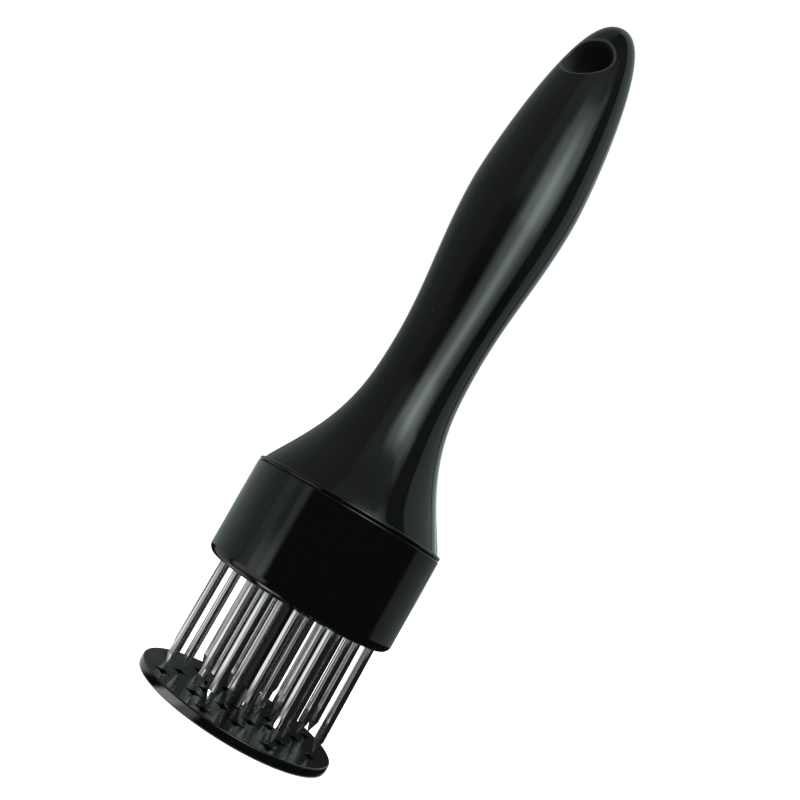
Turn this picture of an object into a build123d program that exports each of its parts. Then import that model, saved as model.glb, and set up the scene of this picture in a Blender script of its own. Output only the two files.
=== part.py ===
from build123d import *
import math
import os

# A round plunger meat tenderizer. A guard plate on a sprung rod slides up along a field of needle
# blades that stand in a collar under a hollow handle. +Z runs up the tool's axis, and the origin is
# the middle of the guard plate's underside. The handle halves part on the XZ plane.

os.makedirs("parts", exist_ok=True)

# ---- Driving dimensions, mm ----

# Guard plate
guard_overhang = 0.5
guard_thickness = 2.4
guard_edge_fillet = 0.35
boss_height = 4.6
boss_base_radius = 2.8
boss_top_radius = 1.9
slot_reach = 2.1
slot_root = 0.8

# Needle blades: a four-pointed section on three rings, every blade turned the same way
needle_reach = 1.25
needle_root = 0.45
needle_taper = 5.0
needle_point_reach = 0.08
needle_point_gap = 1.0
needle_head_radius = 1.6
needle_head_height = 1.2
blade_turn = 29.0
ring_start_angle = 13.0
outer_ring_margin = 2.2
outer_ring_spacing = 5.4
inner_ring_spacing = 6.5
needles_per_ring = 8

# Collar
guard_to_collar = 28.5
collar_height = 25.4
collar_bottom_radius = 25.4
collar_flare = 0.15
collar_wall = 1.8
collar_floor = 3.0
collar_edge_fillet = 2.4
key_width = 2.4
key_depth = 0.8

# Needle block, clamp plate and their screws
block_thickness = 11.0
clamp_thickness = 3.0
screw_ring_radius = 15.4
screw_count = 4
screw_radius = 1.45
screw_length = 9.5
screw_head_radius = 2.75
screw_head_height = 1.9
screw_head_fillet = 0.6
recess_length = 3.0
recess_width = 0.7
recess_depth = 1.0

# Guide rod, bush and spring train
rod_radius = 1.5
rod_above_cup = 12.0
rod_end_chamfer = 0.3
socket_floor = 0.8
bush_radius = 4.0
bush_flange_radius = 6.0
bush_flange_height = 1.5
groove_depth = 0.4
clip_thickness = 0.5
clip_radius = 3.2
clip_gap = 2.2
cup_radius = 5.9
cup_height = 4.0
cup_floor = 1.6
clip_recess_depth = 0.6
spring_mean_radius = 4.2
spring_wire = 0.9
spring_coils = 10
spring_length = 53.0
seat_thickness = 3.0
seat_spigot_radius = 3.0
seat_spigot_height = 4.0

# Handle
handle_height = 149.0
waist_height = 43.7
belly_height = 94.0
waist_half_width = 11.5
belly_half_width = 15.1
grip_flatness = 0.88
flatness_start = 25.0
flatness_end = 62.0
flare_round = 1.2
flare_sweep = 2.8
crown_round = 1.45
crown_blunt = 2.6
lip_height = 1.1
lip_setback = 0.05
lip_overhang = 0.4
lip_fillet = 0.45
handle_wall = 2.3
flare_cavity_start = 3.0
cavity_top = 120.5
hole_radius = 6.3
hole_from_top = 15.6
hole_fillet = 0.8
web_thickness = 2.2
web_hole_radius = 2.4
grip_web_height = 94.0
boss_radius = 3.4
boss_heights = (78.0, 108.0)
foot_boss_height = 5.6
foot_boss_x = 15.0
pin_radius = 1.4
pin_length = 4.0
spigot_wall = 2.0
bead_height = 1.2
bead_reach = 0.4
bead_above_clamp = 3.2

# Fits and clearances
sliding_fit = 0.06
fixed_fit = 0.10
needle_fit = 0.12
rest_gap = 0.10
boss_clearance = 0.5
pin_end_clearance = 0.3

# ---- Levels and sizes that follow ----

collar_bottom = guard_thickness + guard_to_collar
floor_top = collar_bottom + collar_floor
block_top = floor_top + block_thickness
clamp_top = block_top + clamp_thickness
seam = collar_bottom + collar_height
collar_top_radius = collar_bottom_radius + collar_flare
collar_bore = collar_bottom_radius - collar_wall
guard_radius = collar_bottom_radius + guard_overhang
outer_ring_radius = collar_bore - outer_ring_margin
middle_ring_radius = outer_ring_radius - outer_ring_spacing
inner_ring_radius = middle_ring_radius - inner_ring_spacing
lip_radius = collar_top_radius - lip_setback
rim_radius = lip_radius - lip_overhang
bush_top = clamp_top + bush_flange_height
cup_bottom = bush_top + rest_gap
spring_bottom = cup_bottom + cup_floor
spring_top = spring_bottom + spring_length
seat_top = spring_top + seat_thickness
rod_top = cup_bottom + cup_height + rod_above_cup
boss_pocket_top = collar_bottom + boss_height + boss_clearance
boss_pocket_radius = boss_base_radius + boss_clearance
needle_bottom = guard_thickness + needle_point_gap
head_bottom = block_top - needle_head_height
hole_height = seam + handle_height - hole_from_top
foot_boss_level = seam + foot_boss_height
middle_ring_start = ring_start_angle + 180 / needles_per_ring


def ring_places(radius, start_angle, count):
    """Evenly spaced points on a circle about the tool's axis."""
    angles = [math.radians(start_angle + 360 * i / count) for i in range(count)]
    return [(radius * math.cos(angle), radius * math.sin(angle)) for angle in angles]


needle_places = (
    ring_places(inner_ring_radius, ring_start_angle, needles_per_ring)
    + ring_places(middle_ring_radius, middle_ring_start, needles_per_ring)
    + ring_places(outer_ring_radius, ring_start_angle, needles_per_ring)
)
screw_places = ring_places(screw_ring_radius, ring_start_angle, screw_count)


def blade_points(reach, root):
    """Corners of a four-pointed blade section: tips on its axes, roots on its square core's corners."""
    corners = []
    for quarter in range(4):
        angle = math.radians(90 * quarter + blade_turn)
        corners.append((reach * math.cos(angle), reach * math.sin(angle)))
        diagonal = angle + math.radians(45)
        depth = root * math.sqrt(2)
        corners.append((depth * math.cos(diagonal), depth * math.sin(diagonal)))
    return corners


def finish(piece, name):
    """Label a finished piece and write its STEP file."""
    piece.part.label = name
    export_step(piece.part, f"parts/{name}.step")


# ---- Handle outline: half-widths by height above the seam ----


def half_width(height):
    """Half the handle's broad width, from the flared foot over waist and belly to the crown."""
    if height < waist_height:
        share = height / waist_height
        return waist_half_width + (rim_radius - waist_half_width) * (1 - share**flare_round) ** flare_sweep
    if height < belly_height:
        share = (height - waist_height) / (belly_height - waist_height)
        swell = (1 - math.cos(math.pi * share)) / 2
        return waist_half_width + (belly_half_width - waist_half_width) * swell
    share = (height - belly_height) / (handle_height - belly_height)
    return belly_half_width * (1 - share**crown_round) ** (1 / crown_blunt)


def flatness(height):
    """Depth over width of the handle's section: round at the foot, flatter in the grip."""
    share = min(max((height - flatness_start) / (flatness_end - flatness_start), 0), 1)
    return 1 - (1 - grip_flatness) * share**2 * (3 - 2 * share)


def section_radii(height, inset):
    """Half-width and half-depth of the handle's oval section, moved in by a wall."""
    return half_width(height) - inset, half_width(height) * flatness(height) - inset


seat_radius = section_radii(spring_top - seam, handle_wall)[1] - fixed_fit

# Heights of the lofted sections, closer together where the outline turns fastest
flare_steps = [waist_height * (i / 9) ** 1.25 for i in range(9)]
grip_steps = [waist_height + (belly_height - waist_height) * i / 6 for i in range(6)]
crown_steps = [belly_height + (handle_height - belly_height) * (1 - (1 - i / 9) ** 1.8) for i in range(9)]
handle_steps = flare_steps + grip_steps + crown_steps

# ---- Guard plate ----

with BuildPart() as guard_plate:
    with BuildSketch():
        Circle(guard_radius)
    extrude(amount=guard_thickness)
    fillet(guard_plate.edges().filter_by(GeomType.CIRCLE), guard_edge_fillet)
    with BuildSketch(Plane.XY.offset(guard_thickness)):
        Circle(boss_base_radius)
    with BuildSketch(Plane.XY.offset(guard_thickness + boss_height)):
        Circle(boss_top_radius)
    loft()
    with BuildSketch(Plane.XY.offset(socket_floor)):
        Circle(rod_radius)
    extrude(amount=guard_thickness + boss_height, mode=Mode.SUBTRACT)
    with BuildSketch():
        with Locations(*needle_places):
            Polygon(*blade_points(slot_reach, slot_root), align=None)
    extrude(amount=guard_thickness, mode=Mode.SUBTRACT)
finish(guard_plate, "guard_plate")

# ---- Guide rod, with the clip's groove ----

clip_bottom = cup_bottom + clip_recess_depth - clip_thickness

with BuildPart() as guide_rod:
    with BuildSketch(Plane.XY.offset(socket_floor)):
        Circle(rod_radius)
    extrude(amount=rod_top - socket_floor)
    chamfer(guide_rod.edges().sort_by(Axis.Z)[-1], rod_end_chamfer)
    with BuildSketch(Plane.XY.offset(clip_bottom)):
        Circle(rod_radius)
        Circle(rod_radius - groove_depth, mode=Mode.SUBTRACT)
    extrude(amount=clip_thickness, mode=Mode.SUBTRACT)
finish(guide_rod, "guide_rod")

# ---- Retaining clip: an open ring in the rod's groove ----

with BuildPart() as retaining_clip:
    with BuildSketch(Plane.XY.offset(clip_bottom)):
        Circle(clip_radius)
        Circle(rod_radius - groove_depth, mode=Mode.SUBTRACT)
        with Locations((clip_radius, 0)):
            Rectangle(2 * clip_radius, clip_gap, mode=Mode.SUBTRACT)
    extrude(amount=clip_thickness)
finish(retaining_clip, "retaining_clip")

# ---- Spring cup, which sits on the clip ----

spring_outer_radius = spring_mean_radius + spring_wire / 2

with BuildPart() as spring_cup:
    with BuildSketch(Plane.XY.offset(cup_bottom)):
        Circle(cup_radius)
    extrude(amount=cup_height)
    with BuildSketch(Plane.XY.offset(spring_bottom)):
        Circle(spring_outer_radius + boss_clearance)
    extrude(amount=cup_height, mode=Mode.SUBTRACT)
    with BuildSketch(Plane.XY.offset(cup_bottom)):
        Circle(clip_radius + fixed_fit)
    extrude(amount=clip_recess_depth, mode=Mode.SUBTRACT)
    with BuildSketch(Plane.XY.offset(cup_bottom)):
        Circle(rod_radius + sliding_fit)
    extrude(amount=cup_height, mode=Mode.SUBTRACT)
finish(spring_cup, "spring_cup")

# ---- Return spring ----

coil_height = spring_length - spring_wire

with BuildPart() as return_spring:
    with BuildLine():
        coil = Helix(coil_height / spring_coils, coil_height, spring_mean_radius,
                     center=(0, 0, spring_bottom + spring_wire / 2))
    with BuildSketch(Plane(origin=coil @ 0, z_dir=coil % 0)):
        Circle(spring_wire / 2)
    sweep(is_frenet=True)
finish(return_spring, "return_spring")

# ---- Spring seat, a disc with a spigot inside the spring ----

with BuildPart() as spring_seat:
    with BuildSketch(Plane.XY.offset(spring_top)):
        Circle(seat_radius)
    extrude(amount=seat_thickness)
    with BuildSketch(Plane.XY.offset(spring_top)):
        Circle(seat_spigot_radius)
    extrude(amount=-seat_spigot_height)
finish(spring_seat, "spring_seat")

# ---- Guide bush: a flanged sleeve that the rod slides in ----

with BuildPart() as guide_bush:
    with BuildSketch(Plane.XY.offset(boss_pocket_top)):
        Circle(bush_radius)
    extrude(amount=bush_top - boss_pocket_top)
    with BuildSketch(Plane.XY.offset(clamp_top)):
        Circle(bush_flange_radius)
    extrude(amount=bush_flange_height)
    with BuildSketch(Plane.XY.offset(boss_pocket_top)):
        Circle(rod_radius + sliding_fit)
    extrude(amount=bush_top - boss_pocket_top, mode=Mode.SUBTRACT)
finish(guide_bush, "guide_bush")

# ---- Needle block ----

block_radius = collar_bore - fixed_fit

with BuildPart() as needle_block:
    with BuildSketch(Plane.XY.offset(floor_top)):
        Circle(block_radius)
        with Locations(*needle_places):
            Polygon(*blade_points(needle_reach + needle_fit, needle_root + needle_fit), align=None,
                    mode=Mode.SUBTRACT)
        with Locations((collar_bore, 0), (-collar_bore, 0)):
            Rectangle(2 * (key_depth + fixed_fit), key_width + 2 * fixed_fit, mode=Mode.SUBTRACT)
    extrude(amount=block_thickness)
    with BuildSketch(Plane.XY.offset(head_bottom)):
        with Locations(*needle_places):
            Circle(needle_head_radius + needle_fit)
    extrude(amount=needle_head_height, mode=Mode.SUBTRACT)
    with BuildSketch(Plane.XY.offset(block_top)):
        with Locations(*screw_places):
            Circle(screw_radius + fixed_fit / 2)
    extrude(amount=clamp_thickness - screw_length, mode=Mode.SUBTRACT)
    with BuildSketch(Plane.XY.offset(floor_top)):
        Circle(bush_radius + fixed_fit)
    extrude(amount=block_thickness, mode=Mode.SUBTRACT)
finish(needle_block, "needle_block")

# ---- Clamp plate over the needle heads ----

with BuildPart() as clamp_plate:
    with BuildSketch(Plane.XY.offset(block_top)):
        Circle(block_radius)
        Circle(bush_radius + fixed_fit, mode=Mode.SUBTRACT)
        with Locations(*screw_places):
            Circle(screw_radius + fixed_fit, mode=Mode.SUBTRACT)
    extrude(amount=clamp_thickness)
finish(clamp_plate, "clamp_plate")

# ---- Clamp screws ----

for number, place in enumerate(screw_places, start=1):
    with BuildPart() as clamp_screw:
        with BuildSketch(Plane.XY.offset(clamp_top)):
            with Locations(place):
                Circle(screw_radius)
        extrude(amount=-screw_length)
        with BuildSketch(Plane.XY.offset(clamp_top)):
            with Locations(place):
                Circle(screw_head_radius)
        extrude(amount=screw_head_height)
        fillet(clamp_screw.edges().sort_by(Axis.Z)[-1], screw_head_fillet)
        with BuildSketch(Plane.XY.offset(clamp_top + screw_head_height)):
            with Locations(place):
                Rectangle(recess_length, recess_width)
                Rectangle(recess_width, recess_length)
        extrude(amount=-recess_depth, mode=Mode.SUBTRACT)
    finish(clamp_screw, f"clamp_screw_{number}")

# ---- Needles: a headed blade whose wings run out to a point ----

for number, place in enumerate(needle_places, start=1):
    with BuildPart() as needle:
        with BuildSketch(Plane.XY.offset(needle_bottom + needle_taper)):
            with Locations(place):
                Polygon(*blade_points(needle_reach, needle_root), align=None)
        extrude(amount=head_bottom - needle_bottom - needle_taper)
        with BuildSketch(Plane.XY.offset(needle_bottom)):
            with Locations(place):
                point_root = needle_root * needle_point_reach / needle_reach
                Polygon(*blade_points(needle_point_reach, point_root), align=None)
        with BuildSketch(Plane.XY.offset(needle_bottom + needle_taper)):
            with Locations(place):
                Polygon(*blade_points(needle_reach, needle_root), align=None)
        loft(ruled=True)
        with BuildSketch(Plane.XY.offset(head_bottom)):
            with Locations(place):
                Circle(needle_head_radius)
        extrude(amount=needle_head_height)
    finish(needle, f"needle_{number:02d}")

# ---- Collar ----

bead_level = clamp_top + bead_above_clamp

with BuildPart() as collar:
    with BuildSketch(Plane.XZ):
        Polygon((0, collar_bottom), (collar_bottom_radius, collar_bottom), (collar_top_radius, seam),
                (0, seam), align=None)
    revolve(axis=Axis.Z)
    fillet(collar.edges().filter_by(GeomType.CIRCLE).sort_by(Axis.Z)[0], collar_edge_fillet)
    with BuildSketch(Plane.XY.offset(floor_top)):
        Circle(collar_bore)
    extrude(amount=collar_height, mode=Mode.SUBTRACT)
    with BuildSketch(Plane.XY.offset(floor_top)):
        with Locations((collar_bore, 0), (-collar_bore, 0)):
            Rectangle(2 * key_depth, key_width)
    extrude(amount=block_thickness)
    with BuildSketch(Plane.XY.offset(bead_level - fixed_fit)):
        Circle(collar_bore + bead_reach)
    extrude(amount=bead_height + 2 * fixed_fit, mode=Mode.SUBTRACT)
    with BuildSketch(Plane.XY.offset(collar_bottom)):
        with Locations(*needle_places):
            Polygon(*blade_points(needle_reach + needle_fit, needle_root + needle_fit), align=None)
        Circle(boss_pocket_radius)
    extrude(amount=collar_floor, mode=Mode.SUBTRACT)
finish(collar, "collar")

# ---- Handle: one hollow outline, parted into two half shells ----

spigot_radius = collar_bore - fixed_fit
spigot_bore = spigot_radius - spigot_wall
boss_levels = [seam + height for height in boss_heights]
boss_places = [(0, level) for level in boss_levels]
foot_boss_places = [(foot_boss_x, foot_boss_level), (-foot_boss_x, foot_boss_level)]

with BuildPart() as cavity:
    cavity_steps = [height for height in handle_steps if flare_cavity_start < height < cavity_top]
    for height in [flare_cavity_start, *cavity_steps, cavity_top]:
        with BuildSketch(Plane.XY.offset(seam + height)):
            Ellipse(*section_radii(height, handle_wall))
    loft()
    with BuildSketch(Plane.XY.offset(clamp_top)):
        Circle(spigot_bore)
    extrude(amount=seam + flare_cavity_start - clamp_top)
    with BuildSketch(Plane.XY.offset(seat_top)):
        Circle(rim_radius)
        Circle(web_hole_radius, mode=Mode.SUBTRACT)
    extrude(amount=web_thickness, mode=Mode.SUBTRACT)
    with BuildSketch(Plane.XY.offset(seam + grip_web_height)):
        Circle(rim_radius)
        Circle(web_hole_radius, mode=Mode.SUBTRACT)
    extrude(amount=web_thickness, mode=Mode.SUBTRACT)
    with BuildSketch(Plane.XZ):
        with Locations(*boss_places, *foot_boss_places):
            Circle(boss_radius)
    extrude(amount=rim_radius, both=True, mode=Mode.SUBTRACT)

handle_sections = []
for height in handle_steps:
    with BuildSketch(Plane.XY.offset(seam + height)) as section:
        Ellipse(*section_radii(height, 0))
    handle_sections.append(section.sketch)

with BuildPart() as handle:
    loft([*handle_sections, Vertex(0, 0, seam + handle_height)])
    with BuildSketch(Plane.XZ):
        with Locations((0, hole_height)):
            Circle(hole_radius)
    extrude(amount=rim_radius, both=True, mode=Mode.SUBTRACT)
    hole_rims = [edge for edge in handle.edges() if edge.geom_type == GeomType.BSPLINE
                 and abs(edge.center().Z - hole_height) < hole_radius]
    fillet(hole_rims, hole_fillet)
    with BuildSketch(Plane.XY.offset(seam)):
        Circle(lip_radius)
    extrude(amount=lip_height)
    fillet(handle.edges().filter_by(GeomType.CIRCLE).filter_by_position(Axis.Z, seam, seam + lip_height),
           lip_fillet)
    with BuildSketch(Plane.XY.offset(clamp_top)):
        Circle(spigot_radius)
    extrude(amount=seam - clamp_top)
    with BuildSketch(Plane.XY.offset(bead_level)):
        Circle(spigot_radius + bead_reach)
    extrude(amount=bead_height)
    add(cavity.part, mode=Mode.SUBTRACT)

with BuildPart() as handle_front:
    add(handle.part)
    split(bisect_by=Plane.XZ, keep=Keep.TOP)
    with BuildSketch(Plane.XZ):
        with Locations(*boss_places, *foot_boss_places):
            Circle(pin_radius)
    extrude(amount=-pin_length)
finish(handle_front, "handle_front")

with BuildPart() as handle_back:
    add(handle.part)
    split(bisect_by=Plane.XZ, keep=Keep.BOTTOM)
    with BuildSketch(Plane.XZ):
        with Locations(*boss_places, *foot_boss_places):
            Circle(pin_radius + fixed_fit)
    extrude(amount=-(pin_length + pin_end_clearance), mode=Mode.SUBTRACT)
finish(handle_back, "handle_back")
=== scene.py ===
"""Dress a round plunger meat tenderizer: handle, needle collar and sprung guard plate.

Sizes are in millimetres in the part's own frame. +Z runs up the tool's axis from the underside of
the guard plate, and the handle halves part on the XZ plane. Finished meshes are scaled to metres.
"""

import logging
import math
from dataclasses import dataclass, replace
from enum import Enum

import bmesh
import bpy
from bmesh.types import BMEdge, BMesh, BMFace, BMVert
from bpy.types import ID, Material, Mesh, Node, NodeSocket, NodeTree, NodeTreeInterfaceSocket, Object
from mathutils import Matrix, Vector


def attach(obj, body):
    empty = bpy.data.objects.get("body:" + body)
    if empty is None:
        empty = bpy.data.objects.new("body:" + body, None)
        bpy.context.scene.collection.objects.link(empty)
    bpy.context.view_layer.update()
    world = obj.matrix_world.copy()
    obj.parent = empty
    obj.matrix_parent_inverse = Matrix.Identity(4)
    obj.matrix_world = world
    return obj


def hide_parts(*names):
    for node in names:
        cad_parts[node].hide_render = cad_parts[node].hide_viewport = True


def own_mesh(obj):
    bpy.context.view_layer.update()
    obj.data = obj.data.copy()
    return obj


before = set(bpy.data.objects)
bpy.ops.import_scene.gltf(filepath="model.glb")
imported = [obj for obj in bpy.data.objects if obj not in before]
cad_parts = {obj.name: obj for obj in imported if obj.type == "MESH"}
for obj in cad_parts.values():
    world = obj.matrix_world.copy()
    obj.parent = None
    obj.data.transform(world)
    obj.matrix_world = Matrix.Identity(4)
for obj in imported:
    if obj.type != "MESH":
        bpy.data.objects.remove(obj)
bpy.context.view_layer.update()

METRE = 0.001
MERGE = 0.0005

Spot = tuple[float, float]
Profile = list[Spot]
Point = tuple[float, float, float]
Colour = tuple[float, float, float]
Edges = list[BMEdge]

log = logging.getLogger("tenderizer")


class Carrier(Enum):
    """The two bodies that pieces ride on."""

    HANDLE = "handle_body"
    GUARD = "guard_body"


# ---- Mesh workshop ----


def blend(first: float, last: float, share: float) -> float:
    """The value that lies a share of the way from the first to the last."""
    return first + (last - first) * share


def share_between(low: float, high: float, value: float) -> float:
    """How far a value lies from the low to the high limit, kept between zero and one."""
    return min(max((value - low) / (high - low), 0.0), 1.0)


def arc(centre: Spot, radius: float, start: float, end: float, steps: int) -> Profile:
    """Points along a circular arc in the plane of radius and height.

    Args:
        centre: The arc's centre as radius and height.
        radius: The arc's radius.
        start: First angle in degrees, from the outward direction towards up.
        end: Last angle in degrees.
        steps: Number of spans.

    Returns:
        The points from start to end, both included.
    """
    turns = [math.radians(blend(start, end, i / steps)) for i in range(steps + 1)]
    return [(centre[0] + radius * math.cos(turn), centre[1] + radius * math.sin(turn)) for turn in turns]


def lathe(bm: BMesh, profile: Profile, segments: int, sweep: float = 360.0) -> None:
    """Spin a profile about the tool's axis, from +X round through -Y.

    Args:
        bm: The mesh that takes the new faces.
        profile: Points as radius and height.
        segments: Steps in the whole sweep.
        sweep: Angle in degrees.
    """
    before = set(bm.verts)
    verts = [bm.verts.new((radius, 0.0, height)) for radius, height in profile]
    edges = [bm.edges.new(pair) for pair in zip(verts, verts[1:])]
    bmesh.ops.spin(bm, geom=verts + edges, cent=(0, 0, 0), axis=(0, 0, -1), dvec=(0, 0, 0),
                   angle=math.radians(sweep), steps=segments, use_merge=sweep >= 360.0)
    bmesh.ops.remove_doubles(bm, verts=[vert for vert in bm.verts if vert not in before], dist=MERGE)


def loop_edges(verts: list[BMVert]) -> Edges:
    """Edges that join the vertices of one closed loop.

    Args:
        verts: The loop's vertices.

    Returns:
        The edges whose two ends are both in the loop, in the same order each run.
    """
    inside = set(verts)
    return list(dict.fromkeys(edge for vert in verts for edge in vert.link_edges
                              if edge.other_vert(vert) in inside))


def circle(bm: BMesh, radius: float, height: float, segments: int) -> Edges:
    """A level circle about the tool's axis.

    Args:
        bm: The mesh that takes the loop.
        radius: The circle's radius.
        height: Its level.
        segments: Its number of edges.

    Returns:
        The loop's edges.
    """
    made = bmesh.ops.create_circle(bm, cap_ends=False, radius=radius, segments=segments,
                                   matrix=Matrix.Translation((0, 0, height)))
    return loop_edges(made["verts"])


def soften(bm: BMesh) -> None:
    """Shade the faces made so far as curved, so that flat faces filled in later stay flat."""
    for face in bm.faces:
        face.smooth = True


def picked(items: list[object], kind: type) -> list:
    """The items of one kind, out of all that an operator made."""
    return [item for item in items if isinstance(item, kind)]


def bridge(bm: BMesh, loops: list[Edges]) -> None:
    """Join each loop of a stack to the next one."""
    for lower, upper in zip(loops, loops[1:]):
        bmesh.ops.bridge_loops(bm, edges=lower + upper)


def fill_flat(bm: BMesh, edges: Edges, normal: Vector) -> None:
    """Fill a flat face that may have holes.

    Args:
        bm: The mesh that holds the loops.
        edges: Edges of the outline and of every hole.
        normal: Direction of the face.
    """
    made = bmesh.ops.triangle_fill(bm, use_beauty=True, use_dissolve=False, edges=edges, normal=normal)
    for face in picked(made["geom"], BMFace):
        face.smooth = False


def as_mesh(bm: BMesh, name: str, material: Material) -> Mesh:
    """Turn a working mesh in millimetres into a finished one in metres.

    Args:
        bm: The working mesh, freed here.
        name: The mesh's name.
        material: Its only material.

    Returns:
        The finished mesh.
    """
    bmesh.ops.scale(bm, vec=(METRE, METRE, METRE), verts=bm.verts[:])
    mesh = bpy.data.meshes.new(name)
    bm.to_mesh(mesh)
    bm.free()
    mesh.materials.append(material)
    return mesh


def put_up(data: ID) -> Object:
    """Make an object of the same name for a mesh, a lamp or a camera, and link it to the scene.

    Args:
        data: What the object shows.

    Returns:
        The object, at the origin.
    """
    thing = bpy.data.objects.new(data.name, data)
    bpy.context.scene.collection.objects.link(thing)
    return thing


@dataclass(frozen=True)
class BladeStar:
    """A four-pointed blade section: tips on its axes, roots on its square core's corners."""

    reach: float
    root: float
    turn: float = 29.0

    def grown(self, offset: float) -> "BladeStar":
        """The star with each of its eight sides moved outwards.

        Args:
            offset: Distance between the old and the new sides.

        Returns:
            The larger star.
        """
        slope = math.atan2(self.root, self.reach - self.root)
        tip = self.reach + offset / math.sin(slope)
        core = self.root + offset / (math.sin(slope) + math.cos(slope))
        return replace(self, reach=tip, root=core)

    def corners(self, bm: BMesh, place: Spot, height: float, filled: bool) -> list[BMVert]:
        """Draw the star level, as a closed loop or as a face.

        Args:
            bm: The mesh that takes the star.
            place: The star's centre.
            height: Its level.
            filled: Whether the star is a face.

        Returns:
            The tips and the roots by turns, from a tip.
        """
        seat = Matrix.Translation((*place, height)) @ Matrix.Rotation(math.radians(self.turn), 4, "Z")
        verts = bmesh.ops.create_circle(bm, cap_ends=filled, radius=self.reach, segments=8,
                                        matrix=seat)["verts"]
        share = self.root * math.sqrt(2) / self.reach
        bmesh.ops.scale(bm, vec=(share, share, 1.0), verts=verts[1::2],
                        space=Matrix.Translation((-place[0], -place[1], 0)))
        return verts

    def loop(self, bm: BMesh, place: Spot, height: float) -> Edges:
        """Draw the star as a level closed loop.

        Args:
            bm: The mesh that takes the loop.
            place: The star's centre.
            height: Its level.

        Returns:
            The loop's edges.
        """
        return loop_edges(self.corners(bm, place, height, False))


@dataclass(frozen=True)
class NeedleRings:
    """Where the needle blades stand: three rings of eight, every second ring turned half a step."""

    radii: tuple[float, float, float] = (9.5, 16.0, 21.4)
    per_ring: int = 8
    start_angle: float = 13.0

    def places(self) -> list[Spot]:
        """Centres of all the blades, ring by ring from the inside.

        Returns:
            One point for each blade.
        """
        step = 360 / self.per_ring
        spots: list[Spot] = []
        for ring, radius in enumerate(self.radii):
            first = self.start_angle + (step / 2 if ring == 1 else 0)
            turns = [math.radians(first + step * i) for i in range(self.per_ring)]
            spots += [(radius * math.cos(turn), radius * math.sin(turn)) for turn in turns]
        return spots

    def holes(self, bm: BMesh, star: BladeStar, levels: Profile) -> tuple[Edges, Edges]:
        """Raise the wall of a star-shaped hole round every blade.

        Args:
            bm: The mesh that takes the walls.
            star: The hole's section.
            levels: How much the section is grown, and its level, from the bottom up.

        Returns:
            Edges of all the lowest loops, and of all the highest ones.
        """
        lower: Edges = []
        upper: Edges = []
        for place in self.places():
            loops = [star.grown(offset).loop(bm, place, level) for offset, level in levels]
            bridge(bm, loops)
            lower += loops[0]
            upper += loops[-1]
        return lower, upper


# ---- Shared surface effects, as shader node groups ----


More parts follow.
